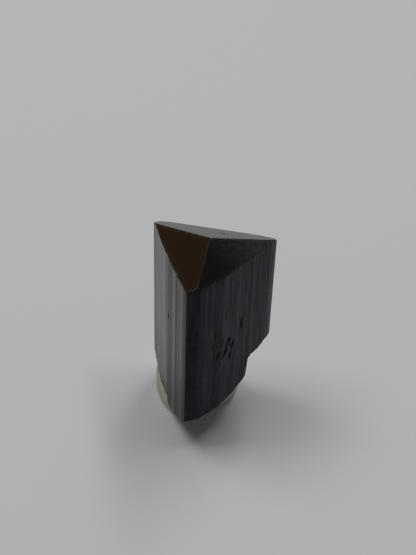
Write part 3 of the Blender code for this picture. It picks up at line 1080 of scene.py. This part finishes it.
# %% Group: worn edges
CHIP_WEAR = 0.5
PATCH_SCALE, PATCH_DETAIL, PATCH_LIMITS = 3.2, 3.0, (0.38, 0.66)
worn_edges, given, put = start_group(
    "worn edges", {"Edge": 0.0, "Chip": 0.0, "Place": None, "Amount": 0.5}, ("Wear",)
)
patches = noise_node(worn_edges, given["Place"], PATCH_SCALE, PATCH_DETAIL)
patches = remap(worn_edges, patches, *PATCH_LIMITS)
patchy = math_node(worn_edges, "MULTIPLY", patches, given["Edge"])
rubbed = math_node(worn_edges, "MULTIPLY", patchy, given["Amount"])
fresh = math_node(worn_edges, "MULTIPLY", given["Chip"], CHIP_WEAR)
worn_edges.links.new(math_node(worn_edges, "MAXIMUM", rubbed, fresh), put["Wear"])
print("group:", worn_edges.name)

# %% [markdown]
# ## The crystal's finishes
# Schorl is opaque black, with a faint brown or blue tinge, and its refractive index of 1.64 is a
# constant, so it is typed into the shader itself. All the life is in the gloss. One function builds a
# finish from its base colours, its roughness, and how strong the lines, the mottling and the wear are.
# The pattern of lines and blotches runs from the dark colour to the light one. The attribute of painted
# sheen and shade scales it, so the light colour stands partly for painted sheen, and even narrows its
# contrast.

# %% One function for six finishes
SCHORL_IOR = 1.64
# Painted shade in the pits: a near-black colour laid into the dents.
PIT_SHADE_COLOUR = (0.004, 0.004, 0.005)
WEAR_COLOUR = (0.09, 0.086, 0.080)
ROUGHENING = 0.25


def schorl_finish(name, dark, light, rough, lines, mottle, wear, specular=0.5, bump=1.0, even=0.0):
    """A finish of the crystal.

    dark and light are colours, rough is a pair, lines holds the lines per mm, their length, a seed and
    their share of the bumps, and mottle holds the blotches' size, a seed and their share of the pattern.
    """
    material, tree, shader = new_material(name)
    read = {
        key: place_node(tree, "ShaderNodeAttribute", {}, attribute_name=key).outputs
        for key in ("grain", "edge", "pit", "chip", "film")
    }
    grain, pit = read["grain"]["Vector"], read["pit"]["Fac"]
    density, length, line_seed, line_share = lines
    size, mottle_seed, mottle_share = mottle
    streaks = fill_group(tree, growth_lines, {
        "Grain": grain, "Lines per mm": density, "Line length": length, "Seed": line_seed,
    })
    blotches = fill_group(tree, mottling, {"Place": grain, "Size": size, "Seed": mottle_seed})
    worn = fill_group(tree, worn_edges, {
        "Edge": read["edge"]["Fac"], "Chip": read["chip"]["Fac"], "Place": grain, "Amount": wear,
    })["Wear"]
    streaked = math_node(tree, "MULTIPLY", streaks["Lines"], streaks["Bands"])
    mixed = {0: mottle_share, 2: streaked, 3: blotches["Blotches"]}
    pattern = place_node(tree, "ShaderNodeMix", mixed, data_type="FLOAT").outputs[0]
    pattern = remap(tree, pattern, 0.0, 1.0, 0.5 * even, 1.0 - 0.5 * even)
    # Painted sheen and shade: the pattern, and with it the colour, is scaled by the attribute of painted
    # light.
    pattern = math_node(tree, "MULTIPLY", pattern, read["film"]["Fac"])
    # Painted shade: the dents take the near-black pit colour.
    colour = blend(tree, pit, blend(tree, pattern, dark, light), PIT_SHADE_COLOUR)
    roughness = remap(tree, pattern, 0.0, 1.0, *rough)
    roughness = math_node(tree, "MULTIPLY_ADD", worn, ROUGHENING, roughness)
    roughness = math_node(tree, "MULTIPLY_ADD", pit, ROUGHENING, roughness, clamp=True)
    line_heights = math_node(tree, "MULTIPLY", streaks["Lines"], line_share)
    heights = math_node(tree, "MULTIPLY_ADD", blotches["Grains"], mottle_share, line_heights)
    bumped = place_node(tree, "ShaderNodeBump", {"Strength": 1.0, "Distance": bump * MM, "Height": heights})
    fill(tree, shader, {
        "Base Color": blend(tree, worn, colour, WEAR_COLOUR), "Roughness": roughness,
        "Normal": bumped.outputs[0], "IOR": SCHORL_IOR, "Specular IOR Level": specular,
    })
    crystal.data.materials.append(material)


# %% [markdown]
# Two growth sides of one crystal often differ in gloss: the left one is glossy, the right one satin, and
# its lighter streaks are painted sheen. The pyramid's left face is clear, its right face is etched, with a
# painted highlight that grows from the ridge outwards, and its back face a little brown, and the break is
# rough and grey. Each could have a node tree of its own, but one call each, with its own values, keeps
# them alike wherever they are alike.

# %% The six finishes
schorl_finish(
    "schorl glossy side", (0.004, 0.004, 0.0042), (0.012, 0.0115, 0.011), (0.12, 0.22),
    (9.0, 5.0, 1.0, 1.0), (0.5, 3.0, 0.12), 0.20, bump=0.0012,
)
# The satin side's light colour, in streaks, is painted sheen: with its specular level turned low, the streaks
# stand in for the reflections of its growth lines. Its dark colour is the crystal's own.
schorl_finish(
    "schorl satin side", (0.003, 0.004, 0.006), (0.049, 0.056, 0.084), (0.30, 0.42),
    (5.0, 4.0, 5.0, 1.0), (0.6, 8.0, 0.25), 0.08, specular=0.08, bump=0.003,
)
# The clear face's faint warm tint is partly schorl's own brown tinge and partly painted reflection of the
# warm surroundings.
schorl_finish(
    "schorl clear face", (0.0028, 0.0020, 0.0015), (0.0045, 0.0030, 0.0022), (0.06, 0.10),
    (3.0, 2.0, 9.0, 0.1), (0.8, 13.0, 0.7), 0.60, bump=0.0005,
)
# The etched face's light colour is a painted highlight, laid on from the ridge outwards; its blotches follow
# the etching.
schorl_finish(
    "schorl etched face", (0.0008, 0.0007, 0.0006), (0.060, 0.060, 0.060), (0.10, 0.20),
    (3.5, 1.2, 15.0, 0.3), (0.36, 19.0, 0.8), 0.30, specular=0.42, bump=0.003, even=0.45,
)
schorl_finish(
    "schorl broken face", (0.004, 0.004, 0.0045), (0.030, 0.030, 0.031), (0.22, 0.50),
    (2.0, 0.6, 25.0, 0.1), (0.25, 29.0, 0.9), 0.3, bump=0.006,
)
schorl_finish(
    "schorl back face", (0.0040, 0.0028, 0.0010), (0.014, 0.010, 0.004), (0.20, 0.28),
    (3.0, 2.0, 31.0, 0.2), (0.7, 37.0, 0.6), 0.30, specular=0.30, bump=0.001,
)
print("finishes:", [material.name for material in crystal.data.materials])

# %% [markdown]
# ## The putty's finish
# The putty is a matt cream-yellow clay. It scatters light below its surface, picks up grey dirt from
# fingers, and holds fine skin lines. The same mottling group gives both the dirt and the fine grain.

# %% Cream putty
CREAM, GREYED, SPECKS = (0.66, 0.645, 0.50), (0.55, 0.53, 0.415), (0.33, 0.29, 0.21)
DIRT_SIZE, SKIN_SIZE = 1.3, 0.22
SPECK_START, SPECK_SHARE = 0.75, 0.35
SKIN_DEPTH, SKIN_STRENGTH, GRAIN_SHARE = 0.03, 0.8, 0.4
CLEAN_ROUGHNESS, DIRTY_ROUGHNESS = 0.55, 0.75
SCATTER_RADII = (0.0012, 0.0008, 0.0004)
cream, tree, shader = new_material("cream putty")
where = place_node(tree, "ShaderNodeTexCoord", {}).outputs["Object"]
to_mm = {0: where, 1: (1 / MM, 1 / MM, 1 / MM)}
in_mm = place_node(tree, "ShaderNodeVectorMath", to_mm, operation="MULTIPLY").outputs[0]
dirt = fill_group(tree, mottling, {"Place": in_mm, "Size": DIRT_SIZE, "Seed": 2.0})
skin = fill_group(tree, mottling, {"Place": in_mm, "Size": SKIN_SIZE, "Seed": 6.0})
tone = blend(tree, dirt["Blotches"], CREAM, GREYED)
specks = remap(tree, skin["Grains"], SPECK_START, 1.0, 0.0, SPECK_SHARE)
ridged = math_node(tree, "MULTIPLY_ADD", skin["Grains"], GRAIN_SHARE, skin["Blotches"])
relief_values = {"Strength": SKIN_STRENGTH, "Distance": SKIN_DEPTH * MM, "Height": ridged}
bumped = place_node(tree, "ShaderNodeBump", relief_values)
fill(tree, shader, {
    "Base Color": blend(tree, specks, tone, SPECKS),
    "Roughness": remap(tree, dirt["Blotches"], 0.0, 1.0, CLEAN_ROUGHNESS, DIRTY_ROUGHNESS),
    "Normal": bumped.outputs[0],
    "Subsurface Weight": 0.15,
    "Subsurface Radius": SCATTER_RADII,
    "Subsurface Scale": 1.0,
})
putty.data.materials.append(cream)
print("finish:", cream.name)

# %% [markdown]
# ## The camera
# A small object is taken from close by with a moderately long lens, looking down at it. The camera's
# place is measured from the crystal's tip, so it follows the frame.

# %% Camera
PITCH, ROLL = math.radians(38.949), math.radians(2.017)
TIP = Vector((*AXIS, HEIGHT)) * MM
FROM_TIP = Vector((-0.0677, -64.0515, 47.9312)) * MM
LENS, NEAREST = 69.0, 0.001
camera_data = bpy.data.cameras.new("camera")
camera_data.lens = LENS
camera_data.clip_start = NEAREST
camera = into_scene("camera", camera_data)
camera.rotation_mode = "ZYX"
camera.rotation_euler = (math.pi / 2 - PITCH, 0.0, ROLL)
camera.location = TIP + FROM_TIP
bpy.context.scene.camera = camera
print("the camera is", round((camera.location - TIP).length / MM, 1), "mm from the tip")

# %% [markdown]
# ## Floor and light
# The floor is plain pale paper, a large flat square. It is stage, as the lamps and the card are, and
# not part of the model.

# %% Floor
REACH = 1.5
PAPER_COLOUR = (0.785, 0.79, 0.805, 1.0)


def square(name, half, finish, values):
    """A flat square that looks up, with a new plain material."""
    mesh = bpy.data.meshes.new(name)
    corners = [(-half, -half, 0), (half, -half, 0), (half, half, 0), (-half, half, 0)]
    mesh.from_pydata(corners, [], [(0, 1, 2, 3)])
    material, tree, shader = new_material(finish)
    fill(tree, shader, values)
    mesh.materials.append(material)
    return into_scene(name, mesh)


paper = {"Base Color": PAPER_COLOUR, "Roughness": 0.9, "Specular IOR Level": 0.2}
floor = square("floor", REACH, "pale paper", paper)
print("floor", 2 * REACH, "m wide")

# %% [markdown]
# Four soft lamps hang over the floor: one from the left, a small one and a long one from the right, and
# one almost overhead. They give a soft shadow to each side and a dark one at the foot. Each is a
# rectangle, given by the way it lies in, its distance, its size and its power.

# %% Lamps
LAMPS = (
    ("left lamp", (-0.45, 0.14, 1.0), 0.46, (0.18, 0.20), 0.49),
    ("right lamp", (0.335, 0.08, 1.0), 0.44, (0.05, 0.11), 0.13),
    ("back right lamp", (0.24, 0.50, 1.0), 0.46, (0.08, 0.24), 0.30),
    ("top lamp", (0.0, 0.14, 1.0), 0.45, (0.16, 0.16), 0.175),
)
for name, direction, distance, size, power in LAMPS:
    data = bpy.data.lights.new(name, "AREA")
    data.shape = "RECTANGLE"
    data.size, data.size_y = size
    data.energy = power
    towards = Vector(direction).normalized()
    across = Vector((0.0, 1.0, 0.0)).cross(towards).normalized()
    lamp = into_scene(name, data)
    lamp.matrix_world = Matrix((across, towards.cross(across), towards)).transposed().to_4x4()
    lamp.location = towards * distance
print("lamps:", [name for name, *_ in LAMPS])

# %% [markdown]
# The sky is a dim even grey. A warm card far behind on the left shows only in the crystal's polished
# faces, as a wooden shelf would, so it lights nothing else. A coloured lamp could do the same, but it
# would tint the floor as well.

# %% Warm card and sky
CARD_HALF, CARD_DISTANCE = 0.13, 0.5
CARD_TOWARDS = Vector((-0.568, 0.589, 0.574)).normalized()
CARD_GLOW = (0.20, 0.113, 0.057, 1.0)
SKY = (0.093, 0.093, 0.094, 1.0)
glowing = {
    "Base Color": (0.0, 0.0, 0.0, 1.0), "Specular IOR Level": 0.0,
    "Emission Color": CARD_GLOW, "Emission Strength": 1.0,
}
card = square("warm_card", CARD_HALF, "warm card", glowing)
card.matrix_world = CARD_TOWARDS.to_track_quat("Z", "Y").to_matrix().to_4x4()
card.location = CARD_TOWARDS * CARD_DISTANCE
for ray in ("camera", "diffuse", "shadow", "transmission", "volume_scatter"):
    setattr(card, f"visible_{ray}", False)
world = bpy.data.worlds.new("studio")
bpy.context.scene.world = world
world.use_nodes = True
world.node_tree.nodes["Background"].inputs["Color"].default_value = SKY
bpy.context.scene.view_settings.view_transform = "Standard"
print("card and sky are set")
